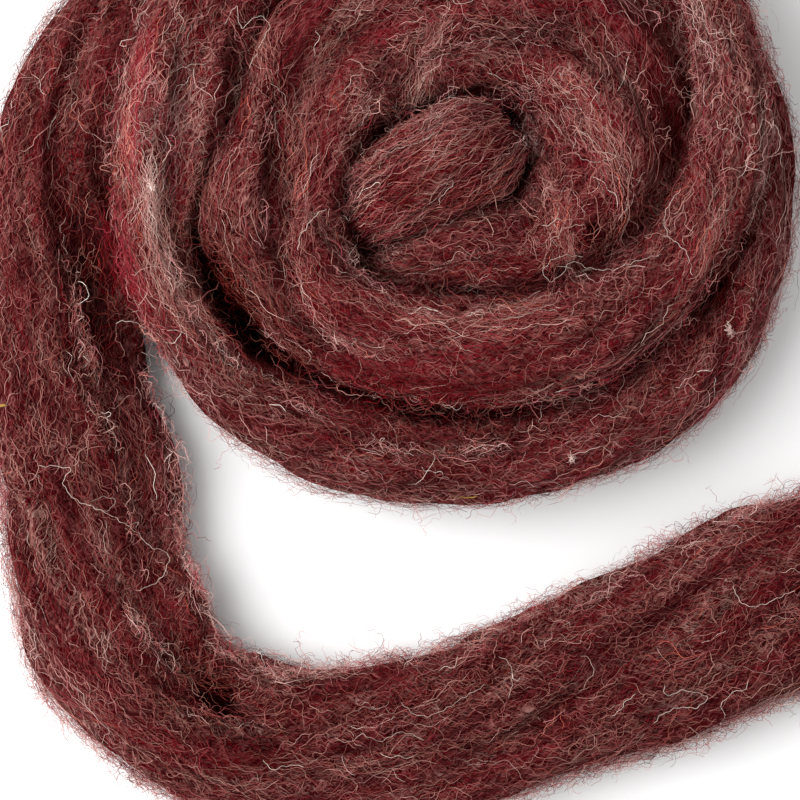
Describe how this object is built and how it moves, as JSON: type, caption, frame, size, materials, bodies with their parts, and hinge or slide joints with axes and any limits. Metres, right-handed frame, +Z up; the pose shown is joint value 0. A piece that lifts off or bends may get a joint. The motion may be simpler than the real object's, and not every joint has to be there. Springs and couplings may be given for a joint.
{
  "type": "wool roving",
  "caption": "Thick soft strand of carded wool wound into a flat round nest, its outer end lying free beside the nest round a corner, heathered dark red.",
  "frame": {"origin": "on the resting surface, under the middle of the wound nest", "axes": "+Z up from the surface, +Y away from the loose end that runs across the front, +X the way the loose end leads"},
  "size_m": [0.2152, 0.2356, 0.0353],
  "materials": {
    "wool": "matt, fuzzy heathered wool"
  },
  "bodies": {
    "root": {"nest": "wool", "tail": "wool"}
  },
  "joints": []
}
